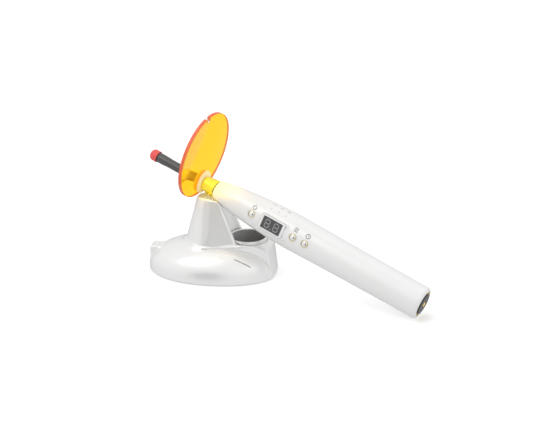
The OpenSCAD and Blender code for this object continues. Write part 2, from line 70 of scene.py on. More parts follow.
ROW = Matrix.Scale(MM, 4)
SEAM = Vector(JOINTS["guide_turn"]["pos_m"])
ALONG = Vector(JOINTS["guide_turn"]["axis"]).normalized()
BUTTON_SIDE = -Vector(JOINTS["power_press"]["axis"]).normalized()
PEN = axes_at(SEAM, BUTTON_SIDE, ALONG)
DOCK_UP = Vector(MOUNTS["dock"]["axis"]).normalized()
DOCK_POINT = Vector(MOUNTS["dock"]["pos_m"])
LIP_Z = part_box("dock_cup")[1].z
DOCK_MOUTH = DOCK_POINT + DOCK_UP * ((LIP_Z - DOCK_POINT.z) / DOCK_UP.z)
DOCK = axes_at(DOCK_MOUTH, (1, 0, 0), DOCK_UP)
HUB = Vector(JOINTS["shield_spin"]["pos_m"])
HUB_AXIS = Vector(JOINTS["shield_spin"]["axis"]).normalized()


def middle(node):
    low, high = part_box(node)
    return (low + high) / 2


# ---------------------------------------------------------------- materials

def surface(name, colour, rough, metal=0.0, coat=0.0, mottle=0.04, mottle_mm=12.0, grain_mm=0.5,
            grain=0.02, rough_spread=0.06, transmission=0.0, ior=1.5, dark=None, emit=0.0):
    """Procedural material: broad colour drift, fine grain in the bump, and roughness that wanders; emit makes the
    surface glow, a painted glow on every part but the floor.
    """
    m = bpy.data.materials.new(name)
    m.use_nodes = True
    tree = m.node_tree
    shader = tree.nodes["Principled BSDF"]
    shader.inputs["Metallic"].default_value = metal
    shader.inputs["Coat Weight"].default_value = coat
    shader.inputs["Coat Roughness"].default_value = 0.06
    shader.inputs["IOR"].default_value = ior
    shader.inputs["Transmission Weight"].default_value = transmission
    if emit:
        shader.inputs["Emission Color"].default_value = (*colour, 1)
        shader.inputs["Emission Strength"].default_value = emit
    place = tree.nodes.new("ShaderNodeTexCoord")

    def noise(size_mm, detail):
        n = tree.nodes.new("ShaderNodeTexNoise")
        n.inputs["Scale"].default_value = 1000.0 / size_mm
        n.inputs["Detail"].default_value = detail
        tree.links.new(place.outputs["Object"], n.inputs["Vector"])
        return n.outputs["Fac"]

    ramp = tree.nodes.new("ShaderNodeValToRGB")
    low = dark if dark else tuple(c * (1 - mottle) for c in colour)
    ramp.color_ramp.elements[0].position = 0.3
    ramp.color_ramp.elements[1].position = 0.7
    ramp.color_ramp.elements[0].color = (*low, 1)
    ramp.color_ramp.elements[1].color = (*colour, 1)
    tree.links.new(noise(mottle_mm, 3), ramp.inputs["Fac"])
    tree.links.new(ramp.outputs["Color"], shader.inputs["Base Color"])
    spread = tree.nodes.new("ShaderNodeMapRange")
    spread.inputs["To Min"].default_value = max(0.02, rough - rough_spread / 2)
    spread.inputs["To Max"].default_value = rough + rough_spread / 2
    tree.links.new(noise(mottle_mm / 3, 4), spread.inputs["Value"])
    tree.links.new(spread.outputs["Result"], shader.inputs["Roughness"])
    if grain:
        bump = tree.nodes.new("ShaderNodeBump")
        bump.inputs["Strength"].default_value = 0.5
        bump.inputs["Distance"].default_value = grain * MM
        tree.links.new(noise(grain_mm, 2), bump.inputs["Height"])
        tree.links.new(bump.outputs["Normal"], shader.inputs["Normal"])
    return m


WHITE = surface("pearl_lacquer", (0.90, 0.90, 0.895), 0.3, metal=0.12, coat=0.25, mottle=0.02,
                grain_mm=2.5, grain=0.0012)
SILVER = surface("silver_moulding", (0.93, 0.93, 0.925), 0.3, metal=0.4, coat=0.15, mottle=0.02,
                 grain_mm=2.5, grain=0.0015)
LIP = surface("glossy_lip", (0.82, 0.82, 0.81), 0.2, metal=0.6, coat=0.4, grain=0.003)
# The dock's inside walls and floor are darkened as painted shade.
WELL = surface("dock_well_painted_shade", (0.3, 0.3, 0.305), 0.35, coat=0.2, grain=0.01)
WELL_FLOOR = surface("dock_floor_painted_shade", (0.02, 0.02, 0.022), 0.5, grain=0.02)
DARK = surface("dark_moulding", (0.07, 0.07, 0.072), 0.55, grain=0.05, grain_mm=0.8)
RUBBER = surface("black_rubber", (0.03, 0.03, 0.03), 0.75, grain=0.08, grain_mm=0.6)
BLACK = surface("black_plastic", (0.03, 0.03, 0.033), 0.35, coat=0.2, grain=0.02)
STEEL = surface("plated_steel", (0.62, 0.62, 0.63), 0.3, metal=1.0, grain=0.01, grain_mm=0.2)
IRON = surface("cast_iron", (0.25, 0.25, 0.26), 0.6, metal=0.8, grain=0.08, grain_mm=0.7)
BOARD = surface("solder_mask", (0.02, 0.16, 0.05), 0.35, coat=0.3, grain=0.02, mottle=0.2, mottle_mm=2)
PIPE = surface("smoked_pipe", (0.28, 0.285, 0.29), 0.2, coat=0.4, grain=0.005)
LENS = surface("clear_pipe", (0.72, 0.74, 0.74), 0.15, coat=0.5, grain=0.004)
GOLD = surface("gold_plate", (1.0, 0.70, 0.14), 0.22, metal=1.0, grain=0.006, grain_mm=0.25)
SPRING = surface("spring_wire", (0.6, 0.6, 0.62), 0.3, metal=1.0, grain=0.01)
FACE = surface("display_face", (0.06, 0.06, 0.064), 0.2, coat=0.3, grain=0.002)
SEGMENT = surface("unlit_segment", (0.33, 0.33, 0.34), 0.4, grain=0.004)
GILT = surface("gilt_ring", (0.78, 0.70, 0.48), 0.18, metal=1.0, grain=0.004, grain_mm=0.2)
CHROME = surface("button_metal", (0.86, 0.85, 0.82), 0.14, metal=1.0, grain=0.003, grain_mm=0.2)
# The ferrule's emission is a painted glow for the amber light falling on it.
FERRULE = surface("ferrule_gold", (1.0, 0.80, 0.06), 0.24, metal=0.85, emit=0.12, grain=0.003, grain_mm=0.6)
# The bezel reveal is grey as painted shade in the gap round the display frame.
REVEAL_GREY = surface("bezel_reveal_painted_shade", (0.42, 0.42, 0.42), 0.5, grain=0.002)
SEAM_DARK = surface("seam_shadow", (0.06, 0.04, 0.02), 0.6, grain=0.01)
ALUMINIUM = surface("turned_aluminium", (0.75, 0.75, 0.77), 0.35, metal=1.0, grain=0.01)
GLASS = surface("moulded_glass", (0.9, 0.95, 0.97), 0.05, transmission=1.0, ior=1.5, grain=0.0)
CERAMIC = surface("ceramic", (0.8, 0.8, 0.77), 0.6, grain=0.02)
CELL = surface("cell_sleeve", (0.05, 0.17, 0.45), 0.3, coat=0.3, grain=0.01)
SLEEVE = surface("guide_sleeve", (0.06, 0.06, 0.065), 0.16, coat=0.5, grain=0.005)
# The cream hub's emission is a painted glow.
CREAM = surface("cream_silicone_painted_glow", (0.97, 0.84, 0.50), 0.4, grain=0.02, mottle=0.06, emit=0.12)
# The amber shield's emission is a painted glow that evens out its shade.
AMBER = surface("amber_acrylic_painted_glow", (0.98, 0.52, 0.02), 0.04, transmission=0.9, ior=1.1, emit=0.16,
                mottle=0.04, mottle_mm=25, grain=0.0, rough_spread=0.03)
AMBER_EDGE = surface("amber_edge", (0.90, 0.12, 0.045), 0.35, grain=0.01,
                     dark=(0.95, 0.22, 0.08), mottle_mm=7)
AMBER_CUT = surface("amber_cut", (0.98, 0.86, 0.74), 0.6, grain=0.01)
CORAL = surface("coral_silicone", (0.92, 0.12, 0.115), 0.45, grain=0.02, mottle=0.08)
# The cap's dark red inner rim is painted shade in the gap round the guide.
CORAL_RIM = surface("coral_rim_painted_shade", (0.30, 0.03, 0.03), 0.5, grain=0.02)
INK = surface("printed_grey", (0.12, 0.12, 0.125), 0.6, grain=0.004)
FAINT_INK = surface("faint_print", (0.34, 0.34, 0.35), 0.6, grain=0.004)

NODE_MATERIAL = {
    "base_shell": SILVER, "base_plate": DARK, "anti_slip_pad": RUBBER, "base_screws": STEEL,
    "ballast_weight": IRON, "charging_board": BOARD, "dock_cup": LIP, "dc_inlet": BLACK,
    "indicator_window": PIPE, "status_lenses": LENS, "centre_pin": GOLD, "ring_pin": GOLD,
    "contact_springs": SPRING, "body_shell": WHITE, "display_bezel": WHITE, "display_face": FACE,
    "display_segments": SEGMENT, "display_module": BLACK, "button_rings": GILT, "power_button": CHROME,
    "mode_button": CHROME, "time_button": CHROME, "tact_switches": BLACK, "mode_lenses": LENS,
    "circuit_board": BOARD, "guide_socket": ALUMINIUM, "collimator_lens": GLASS, "led_emitter": CERAMIC,
    "heat_sink": ALUMINIUM, "battery_stop": CERAMIC, "battery_cell": CELL, "battery_spring": SPRING,
    "contact_ring": GOLD, "tail_plug": BLACK, "tail_contact": GOLD, "tail_seal": RUBBER,
    "guide_oring": RUBBER, "guide_ferrule": GOLD, "guide_sleeve": SLEEVE, "fibre_core": GLASS,
    "shield_grommet": CREAM, "shield_disc": AMBER, "tip_cap": CORAL,
}
SMOOTH_ANGLE = math.radians(32)
for node_name, node_object in NODES.items():
    slots = node_object.data.materials
    if len(slots):
        for k in range(len(slots)):
            slots[k] = NODE_MATERIAL[node_name]
    else:
        slots.append(NODE_MATERIAL[node_name])
    node_object.data.shade_smooth()
    node_object.data.set_sharp_from_angle(angle=SMOOTH_ANGLE)


# ---------------------------------------------------------------- building helpers

def add_mesh(name, points, faces, place, body, materials, sharp=SMOOTH_ANGLE, indices=None):
    """A mesh piece from millimetre points in the frame place, riding on a body."""
    mesh = bpy.data.meshes.new(name)
    mesh.from_pydata([place @ Vector(p) for p in points], [], faces)
    for m in materials:
        mesh.materials.append(m)
    if indices is not None:
        mesh.polygons.foreach_set("material_index", indices)
    bm = bmesh.new()
    bm.from_mesh(mesh)
    bmesh.ops.recalc_face_normals(bm, faces=bm.faces)
    bm.to_mesh(mesh)
    bm.free()
    mesh.shade_smooth()
    mesh.set_sharp_from_angle(angle=sharp)
    piece = bpy.data.objects.new(name, mesh)
    bpy.context.scene.collection.objects.link(piece)
    piece.shadow_terminator_geometry_offset = 0.2
    piece.shadow_terminator_shading_offset = 0.1
    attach(piece, body)
    return piece


def skin(loops, caps=(True, True)):
    """Points and faces of a skin through loops of equal length."""
    count = len(loops[0])
    points = [p for loop in loops for p in loop]
    faces = []
    for k in range(len(loops) - 1):
        for j in range(count):
            n = (j + 1) % count
            faces.append((k * count + j, k * count + n, (k + 1) * count + n, (k + 1) * count + j))
    if caps[0]:
        faces.append(tuple(range(count))[::-1])
    if caps[1]:
        faces.append(tuple((len(loops) - 1) * count + j for j in range(count)))
    return points, faces


def circle(r, z, count):
    return [(r * math.cos(2 * math.pi * j / count), r * math.sin(2 * math.pi * j / count), z)
            for j in range(count)]


def rounded(profile, radius, steps=4):
    """The open profile with each inner corner replaced by a small curve."""
    out = [profile[0]]
    for a, b, c in zip(profile, profile[1:], profile[2:]):
        va, vc = Vector(a) - Vector(b), Vector(c) - Vector(b)
        cut = min(radius, va.length * 0.45, vc.length * 0.45)
        start, end = Vector(b) + va.normalized() * cut, Vector(b) + vc.normalized() * cut
        for k in range(steps + 1):
            t = k / steps
            out.append(tuple(start * (1 - t) ** 2 + Vector(b) * 2 * t * (1 - t) + end * t * t))
    out.append(profile[-1])
    return out


def lathe(name, profile, place, body, materials, count=96, caps=(True, True), sharp=SMOOTH_ANGLE, bands=()):
    """A turned piece from (radius, height) points; bands are (first, last, material) over the profile's steps."""
    loops = [circle(max(r, 1e-4), z, count) for r, z in profile]
    points, faces = skin(loops, caps)
    indices = [0] * len(faces)
    for first, last, choice in bands:
        indices[first * count:last * count] = [choice] * ((last - first) * count)
    materials = materials if isinstance(materials, list) else [materials]
    return add_mesh(name, points, faces, place, body, materials, sharp, indices)


def plate_loop(size, corner, z, per_corner=6):
    """A rounded rectangle, anticlockwise, centred on the axis."""
    loop = []
    for k, (sx, sy) in enumerate(((1, 1), (-1, 1), (-1, -1), (1, -1))):
        cx, cy = sx * (size[0] / 2 - corner), sy * (size[1] / 2 - corner)
        for j in range(per_corner + 1):
            a = math.radians(90 * k + 90 * j / per_corner)
            loop.append((cx + corner * math.cos(a), cy + corner * math.sin(a), z))
    return loop


# ---------------------------------------------------------------- charging base

FLOOR_GAP = 0.6
DOME = {"rear": 53.0, "front": 59.5, "half_w": 37.0, "height": 27.3, "plan": 2.1, "power": 2.5, "rise": 0.0022}
TOWER_FOOT = (-2.0, 0.0, 19.3, 24.0)      # x, y, radius, height
TOWER_DISKS = [(-0.5, 0.0, 9.3, 67.3), (-0.5, 0.0, 10.2, 65.4), (9.8, 9.2, 1.2, 65.8), (9.8, -9.2, 1.2, 65.8),
               TOWER_FOOT, (23.8, 15.0, 1.2, 31.0), (23.8, -15.0, 1.2, 31.0)]
SPINE_DISKS = [(32.5, 0.0, 16.6, 30.0), TOWER_FOOT, (54.0, 13.0, 1.6, 24.8), (54.0, -13.0, 1.6, 24.8)]
BLOCK = {"rear": 51.8, "front": 26.0, "half_w": 7.0, "top": 18.7}
END = {"x": -32.3, "r": 89.5, "slope": 0.128}
LINER_R, BORE_R = 15.0, 13.95
CRADLE = {"at": (9.5, 0.0, 72.4), "pitch": 17.3, "r": 11.8}
HUB_RELIEF_R, HUB_RELIEF_FROM = 10.5, 11.8
PEN_RELIEF_R, PEN_RELIEF_TAPER = 8.9, 0.17
PLATE_INSET, PLATE_TOP = 1.6, 3.2
INLET_Z, INLET_R = 10.5, 4.05
CREASE_R = 0.6
PIN_WELL_R = 12.0
VOXEL = 0.5


def soft_min(a, b, k):
    h = np.maximum(k - np.abs(a - b), 0) / k
    return np.minimum(a, b) - h * h * k / 4


def soft_max(a, b, k):
    return -soft_min(-a, -b, k)


def steepness(field):
    gx, gy, gz = np.gradient(field, VOXEL)
    return np.sqrt(gx * gx + gy * gy + gz * gz) + 1e-4


def crossing(a, b):
    """Distance from the line where the surfaces of two distance fields cross."""
    slopes_a, slopes_b = np.gradient(a, VOXEL), np.gradient(b, VOXEL)
    lean = sum(p * q for p, q in zip(slopes_a, slopes_b)) / (steepness(a) * steepness(b))
    return np.sqrt(np.maximum(a * a + b * b - 2 * a * b * lean, 0) / np.maximum(1 - lean * lean, 0.01))


def hull_of_disks(x, y, z, disks):
    """Distance outside the hull of upright cylinders standing on the floor, given as (x, y, radius, height)."""
    plan = np.full(x.shape, -1e9)
    for a in np.linspace(0, 2 * math.pi, 120, endpoint=False):
        c, s = math.cos(a), math.sin(a)
        plan = np.maximum(plan, c * x + s * y - max(c * d[0] + s * d[1] + d[2] for d in disks))
    roof = np.full(x.shape, max(d[3] for d in disks))
    for a in np.linspace(0, 2 * math.pi, 72, endpoint=False):
        for slope in np.tan(np.linspace(0.02, 1.45, 44)):
            c, s = slope * math.cos(a), slope * math.sin(a)
            lift = max(d[3] - c * d[0] - s * d[1] + slope * d[2] for d in disks)
            roof = np.minimum(roof, c * x + s * y + lift)
    gx, gy = np.gradient(roof, VOXEL)
    lean = np.sqrt(1 + gx * gx + gy * gy)
    return np.maximum(plan[:, :, None], (z - roof[:, :, None]) / lean[:, :, None])


def base_shape():
    """Quads of the base's outer shape, with soft creases where its forms meet."""
    lows, highs = (-56.0, -40.0, -2.4), (60.0, 40.0, 70.8)
    ticks = [np.arange(lo, hi, VOXEL) for lo, hi in zip(lows, highs)]
    x, y, z = np.meshgrid(*ticks, indexing="ij")
    flat_x, flat_y = x[:, :, 0], y[:, :, 0]

    reach = np.where(x > 0, DOME["front"], DOME["rear"])
    share_x, share_y = np.abs(x) / reach, np.abs(y) / DOME["half_w"]
    plan = (share_x ** DOME["plan"] + share_y ** DOME["plan"]) ** (1 / DOME["plan"])
    lift = np.maximum(z - FLOOR_GAP, 0) / (DOME["height"] * (1 + DOME["rise"] * x))
    dome = (plan ** DOME["power"] + lift ** DOME["power"]) ** (1 / DOME["power"]) - 1
    dome = dome / steepness(dome)

    tower = hull_of_disks(flat_x, flat_y, z, TOWER_DISKS)
    spine = hull_of_disks(flat_x, flat_y, z, SPINE_DISKS)
    block = soft_max(soft_max(np.abs(y) - BLOCK["half_w"], -(x + BLOCK["rear"]), 1.2),
                     soft_max(z - BLOCK["top"], x + BLOCK["front"], 1.2), 1.2)
    leftward = 1 / (1 + np.exp((x + 6.0) / 4.0))
    neck = soft_min(tower, spine, 2.2)
    shape = soft_min(neck, dome, 0.7 + 5.6 * leftward)
    shape = soft_max(shape, CREASE_R * (1 - leftward) - crossing(neck, dome), 0.2)
    shape = soft_min(shape, block, 1.2)

    end = (np.hypot(x - END["x"], y) - (END["r"] - END["slope"] * z)) / math.hypot(1, END["slope"])
    shape = soft_max(shape, end, 0.9)
    shape = soft_max(shape, FLOOR_GAP - z, 0.8)

    def along(place):
        inverse = place.inverted()
        px = inverse[0][0] * x * MM + inverse[0][1] * y * MM + inverse[0][2] * z * MM + inverse[0][3]
        py = inverse[1][0] * x * MM + inverse[1][1] * y * MM + inverse[1][2] * z * MM + inverse[1][3]
        pz = inverse[2][0] * x * MM + inverse[2][1] * y * MM + inverse[2][2] * z * MM + inverse[2][3]
        return np.hypot(px, py), pz

    dock_r, dock_t = along(DOCK)
    liner = np.maximum(np.maximum(dock_r - LINER_R, z - LIP_Z / MM), -dock_t - 20)
    channel = np.maximum(dock_r - BORE_R - 0.35, -dock_t - 1)
    pin_well = np.maximum(dock_r - PIN_WELL_R, dock_t)
    shape = np.maximum(shape, -np.minimum(liner, pin_well))
    shape = soft_max(shape, -channel, 1.2)
    tilt = math.radians(CRADLE["pitch"])
    cradle = axes_at(Vector(CRADLE["at"]) * MM, (0, 1, 0), (-math.cos(tilt), 0, math.sin(tilt)))
    groove_r = along(cradle)[0]
    shape = soft_max(shape, CRADLE["r"] - groove_r, 1.6)
    pen_r, pen_t = along(PEN)
    relief = np.maximum(pen_r - (PEN_RELIEF_R - PEN_RELIEF_TAPER * pen_t), np.abs(pen_t + 6) - 6)
    shape = soft_max(shape, -relief, 0.6)
    shape = soft_max(shape, -np.maximum(pen_r - HUB_RELIEF_R, HUB_RELIEF_FROM - pen_t), 0.8)

    rim = (plan - 1) / steepness(plan)
    recess = np.maximum(np.maximum(rim, end) + PLATE_INSET, z - PLATE_TOP)
    shape = np.maximum(shape, -recess)
    inlet = np.maximum(np.hypot(y, z - INLET_Z) - INLET_R, x + BLOCK["rear"] - 5)
    shape = soft_max(shape, -inlet, 0.6)

    grid = openvdb.FloatGrid(3.0)
    grid.copyFromArray(np.clip(shape, -3, 3).astype(np.float32))
    points, quads = grid.convertToQuads(isovalue=0.0)[:2]
    points = points * VOXEL + np.array(lows)
    return points.tolist(), quads.tolist()


shell_points, shell_faces = base_shape()
shell = add_mesh("base_housing", shell_points, shell_faces, ROW, "base", [SILVER],
                 sharp=math.radians(50))
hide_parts("base_shell")


DOCK_COUNT = 128
DOCK_DEPTH, WELL_CHAMFER = 16.0, 2.3


def dock_ring(r, drop, deep=None):
    """A loop on a cylinder of the dock: drop below the level lip, or deep along the dock's own axis."""
    loop = []
    for j in range(DOCK_COUNT):
        a = 2 * math.pi * j / DOCK_COUNT
        flat = Vector((r * math.cos(a), r * math.sin(a), 0))
        if deep is None:
            base = DOCK @ flat
            up = ((LIP_Z - drop * MM) - base.z) / DOCK_UP.z / MM
        else:
            up = -deep
        loop.append((flat.x, flat.y, up))
    return loop


LIP_PROFILE = [(14.95, 6), (14.95, 2.7), (15.15, 2.4), (15.4, 1.9), (15.5, 1.2), (15.45, 0.6), (15.2, 0.15),
               (14.85, 0.0), (14.45, 0.05), (14.12, 0.3), (BORE_R, 0.8)]      # radius, drop below the lip
cup_loops = [dock_ring(14.9, 0, DOCK_DEPTH + 2)] + [dock_ring(r, drop) for r, drop in LIP_PROFILE]
cup_loops += [dock_ring(BORE_R, 0, DOCK_DEPTH - WELL_CHAMFER), dock_ring(BORE_R - WELL_CHAMFER, 0, DOCK_DEPTH)]
cup_points, cup_faces = skin(cup_loops)
WELL_FROM = len(LIP_PROFILE)        # steps from here down are the inside, dark grey as painted shade
cup_indices = [1 if k // DOCK_COUNT >= WELL_FROM else 0 for k in range(len(cup_faces))]
cup_indices[-2:] = [0, 2]        # the caps: underside, and the floor in near-black as painted shade
cup = add_mesh("dock_liner", cup_points, cup_faces, DOCK, "base", [LIP, WELL, WELL_FLOOR],
               indices=cup_indices)
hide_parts("dock_cup")

# The slim indicator light pipe lies in the dome between two points; the surface gives its depth.
housing_tree = BVHTree.FromPolygons([Vector(p) for p in shell_points], shell_faces)
SLOT_FROM, SLOT_TO, SLOT_W = Vector((25.8, -25.3, 21.2)), Vector((40.2, -24.65, 14.7)), 0.8


def on_housing(point, proud):
    hit = housing_tree.find_nearest(point)
    normal = hit[1]
    if normal.dot(Vector((0.3, -0.7, 0.6))) < 0:
        normal = -normal
    return hit[0] + normal * proud


slot_loops = []
SLOT_STEPS = 24
run = (SLOT_TO - SLOT_FROM).normalized()
across = run.cross(Vector((0.33, -0.70, 0.63))).normalized()
for k in range(SLOT_STEPS + 1):
    t = k / SLOT_STEPS
    centre = SLOT_FROM.lerp(SLOT_TO, t)
    width = SLOT_W / 2 * math.sqrt(max(0.0, 1 - (2 * t - 1) ** 12)) + 0.01
    near, far = centre - across * width, centre + across * width
    section = ((near, -0.5), (near, 0.05), (centre, 0.12), (far, 0.05), (far, -0.5))
    slot_loops.append([tuple(on_housing(point, proud)) for point, proud in section])
slot_points, slot_faces = skin(slot_loops)
window = add_mesh("indicator_pipe", slot_points, slot_faces, ROW, "base", [PIPE])
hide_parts("indicator_window")


# ---------------------------------------------------------------- handpiece

BODY = {"len": 198.6, "nose_r": 7.5, "belly_r": 15.05, "tail_r": 13.6, "belly_at": 80.0,
        "nose_power": 0.65, "tail_power": 1.6, "round": 2.7, "bore": 10.9}
BUTTONS = {"power": 41.5, "mode": 82.3, "time": 93.6}
PAD_MID, PAD_SIZE, PAD_TOP = 63.4, (26.0, 14.4), 14.75
DISPLAY_MID, BEZEL_SIZE, BEZEL_TOP = 62.0, (22.7, 12.8), 15.9
FACE_SIZE, FACE_TOP = (18.0, 10.3), 15.4


def body_r(s):
    if s < BODY["belly_at"]:
        rise = math.sin(math.radians(90 * max(s, 0) / BODY["belly_at"])) ** BODY["nose_power"]
        return BODY["nose_r"] + (BODY["belly_r"] - BODY["nose_r"]) * rise
    span = BODY["len"] - 5 - BODY["belly_at"]
    left = max(0.0, (BODY["len"] - 5 - s) / span)
    return BODY["tail_r"] + (BODY["belly_r"] - BODY["tail_r"]) * left ** BODY["tail_power"]


def on_pen(s, angle=0.0):
    """Frame with +Z out of the body at distance s behind the seam, X towards the tail, turned by angle degrees."""
    turn = Matrix.Rotation(math.radians(angle), 4, "Z")
    out = Matrix(((0, 0, 1, 0), (0, 1, 0, 0), (-1, 0, 0, -s), (0, 0, 0, 1)))
    return PEN @ turn @ out


profile = [(6.85, -2.0), (6.85, -0.25), (7.0, 0.0), (7.3, 0.0)]
stations = [0.15, 0.5, 1, 1.7, 2.6, 3.8] + [5 + 1.0 * k for k in range(192)]
profile += [(body_r(s), -s) for s in stations if s < BODY["len"] - BODY["round"]]
corner_r, corner_z = BODY["tail_r"] - BODY["round"], -(BODY["len"] - BODY["round"])
for k in range(13):
    a = math.radians(90 * k / 12)
    profile.append((corner_r + BODY["round"] * math.cos(a), corner_z - BODY["round"] * math.sin(a)))
profile += [(BODY["bore"] - 0.02, -BODY["len"] + 0.05), (BODY["bore"] - 0.02, -BODY["len"] + 5)]
body = lathe("handpiece_body", profile, PEN, "handpiece", WHITE, count=160, caps=(False, False))
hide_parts("body_shell")

REVEAL = 0.7
pad_loops = [plate_loop(PAD_SIZE, 2.2, 8.0), plate_loop(PAD_SIZE, 2.2, PAD_TOP - 0.7)]
for k in range(1, 6):
    a = math.radians(90 * k / 5)
    shrink = 1.4 * (1 - math.cos(a))
    pad_loops.append(plate_loop((PAD_SIZE[0] - shrink, PAD_SIZE[1] - shrink), 2.2 - shrink / 2 + 0.3,
                                PAD_TOP - 0.7 + 0.7 * math.sin(a)))
pad_points, pad_faces = skin(pad_loops, (False, True))
add_mesh("display_pad", pad_points, pad_faces, on_pen(PAD_MID), "handpiece", [WHITE])

bezel_loops = [plate_loop((BEZEL_SIZE[0] + REVEAL, BEZEL_SIZE[1] + REVEAL), 1.6 + REVEAL / 2, PAD_TOP + 0.02),
               plate_loop(BEZEL_SIZE, 1.6, PAD_TOP + 0.02), plate_loop(BEZEL_SIZE, 1.6, BEZEL_TOP - 0.5)]
for k in range(1, 6):
    a = math.radians(90 * k / 5)
    shrink = 1.0 * (1 - math.cos(a))
    bezel_loops.append(plate_loop((BEZEL_SIZE[0] - shrink, BEZEL_SIZE[1] - shrink), 1.6 - shrink / 2 + 0.2,
                                  BEZEL_TOP - 0.5 + 0.5 * math.sin(a)))
bezel_loops += [plate_loop((FACE_SIZE[0] + 0.5, FACE_SIZE[1] + 0.5), 0.6, BEZEL_TOP),
                plate_loop((FACE_SIZE[0] + 0.15, FACE_SIZE[1] + 0.15), 0.45, BEZEL_TOP - 0.15),
                plate_loop((FACE_SIZE[0] + 0.05, FACE_SIZE[1] + 0.05), 0.4, FACE_TOP - 0.5)]
bezel_points, bezel_faces = skin(bezel_loops, (False, False))
# The first ring of faces, the reveal, takes the grey of painted shade.
reveal_faces = len(bezel_loops[0])
bezel = add_mesh("display_frame", bezel_points, bezel_faces, on_pen(DISPLAY_MID), "handpiece",
                 [WHITE, REVEAL_GREY], indices=[1] * reveal_faces + [0] * (len(bezel_faces) - reveal_faces))
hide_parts("display_bezel")

QUARTER = [math.radians(a) for a in range(9, 90, 9)]
for label, s in BUTTONS.items():
    level = body_r(s)
    ring_profile = rounded([(2.6, -1.2), (2.6, 0.42), (3.0, 0.5), (3.35, 0.28), (3.35, -0.6)], 0.14)
    ring_profile = [(r, z + level) for r, z in ring_profile]
    ring = lathe(f"{label}_ring", ring_profile, on_pen(s), "handpiece", GILT, 72, (False, False))
    if label == "power":
        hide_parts("button_rings")
    dome_profile = [(2.5, -1.5), (2.5, 0.12)]
    dome_profile += [(2.5 * math.cos(a), 0.12 + 0.8 * math.sin(a)) for a in QUARTER]
    dome_profile += [(0.0, 0.92)]
    dome_profile = [(r, z + level) for r, z in dome_profile]
    button = lathe(f"{label}_dome", dome_profile, on_pen(s), label, CHROME, 72, (True, False))
    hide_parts(f"{label}_button")

TAIL = PEN @ Matrix.Translation((0, 0, -BODY["len"]))
ring = lathe("tail_contact_band", rounded([(9.15, 2.0), (9.15, 0.3), (10.87, 0.35), (10.87, 2.0)], 0.2),
             TAIL, "handpiece", GOLD, 96, (False, False))
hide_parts("contact_ring")
plug_profile = [(9.08, 2.5), (9.08, -0.25), (8.6, -0.8), (2.25, -0.85), (2.2, -0.6), (2.2, 1.5)]
plug = lathe("tail_end_plug", rounded(plug_profile, 0.3), TAIL, "handpiece", BLACK, 96,
             (False, False))
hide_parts("tail_plug")


# Printed marks: strokes laid on the curved body, as thin as ink
def stroke(points, width, s, angle, lift=0.02):
    """A ribbon along points (x towards the tail, y round the body, millimetres) on the body's surface."""
    left, right = [], []
    for k, p in enumerate(points):
        a = points[max(k - 1, 0)]
        b = points[min(k + 1, len(points) - 1)]
        d = Vector((b[0] - a[0], b[1] - a[1]))
        d = d.normalized() if d.length > 1e-9 else Vector((1, 0))
        n = Vector((-d.y, d.x)) * width / 2
        left.append((p[0] + n.x, p[1] + n.y))
        right.append((p[0] - n.x, p[1] - n.y))
    loops = []
    for a, b in zip(left, right):
        loop = []
        for (u, v), drop in ((a, -0.15), (a, lift), (b, lift), (b, -0.15)):
            r = body_r(s + u)
            turn = math.radians(angle) + v / r
            loop.append(((r + drop) * math.cos(turn), (r + drop) * math.sin(turn), -(s + u)))
        loops.append(loop)
    return skin(loops)


def mark(name, strokes, s, angle, material, width):
    points, faces = [], []
    for line in strokes:
        p, f = stroke(line, width, s, angle)
        faces += [tuple(i + len(points) for i in face) for face in f]
        points += p
    return add_mesh(name, points, faces, PEN, "handpiece", [material], sharp=math.radians(20))


def arc(r, a0, a1, steps=18):
    turns = [math.radians(a0 + (a1 - a0) * k / steps) for k in range(steps + 1)]
    return [(r * math.cos(a), r * math.sin(a)) for a in turns]


def dense(points, step=0.3):
    out = [points[0]]
    for a, b in zip(points, points[1:]):
        n = max(1, int(math.dist(a, b) / step))
        out += [(a[0] + (b[0] - a[0]) * k / n, a[1] + (b[1] - a[1]) * k / n) for k in range(1, n + 1)]
    return out


ICON_ANGLE = 26.0
mark("icon_power", [arc(1.7, 125, 415), dense([(0, 0.5), (0, 2.3)])], BUTTONS["power"], ICON_ANGLE, INK, width=0.55)
mark("icon_mode", [dense([(-1.8, row), (1.8, row)]) for row in (1.4, 0, -1.4)],
     BUTTONS["mode"], ICON_ANGLE, INK, width=0.55)
mark("icon_time", [arc(1.9, 0, 360, 28), dense([(0, 0), (0, 1.2)]), dense([(0, 0), (0.9, -0.4)])],
     BUTTONS["time"], ICON_ANGLE, INK, width=0.5)
WAVE_ANGLE = 71.0
WAVES = {
    "full": (54.0, [(-1.2, -0.6), (-1.2, 0.6), (1.2, 0.6), (1.2, -0.6)]),
    "ramp": (61.1, [(-1.3, -0.6), (0.7, 0.6), (1.2, 0.6), (1.2, -0.6)]),
    "pulse": (68.0, [(-1.3, -0.6), (-1.3, 0.6), (-0.5, 0.6), (-0.5, -0.6), (0.3, -0.6), (0.3, 0.6),
                     (1.1, 0.6), (1.1, -0.6)]),
}
for label, (s, line) in WAVES.items():
    mark(f"icon_{label}", [dense(line, 0.2)], s, WAVE_ANGLE, FAINT_INK, width=0.36)


# ---------------------------------------------------------------- light guide and shield

GUIDE_R, REACH, SPIGOT = 3.95, 67.0, 10.0
FERRULE_FRONT, FERRULE_FRONT_R = 12.8, 6.25
CAP_FRONT = REACH + 1.7
CAP_BACK = CAP_FRONT - 7.6

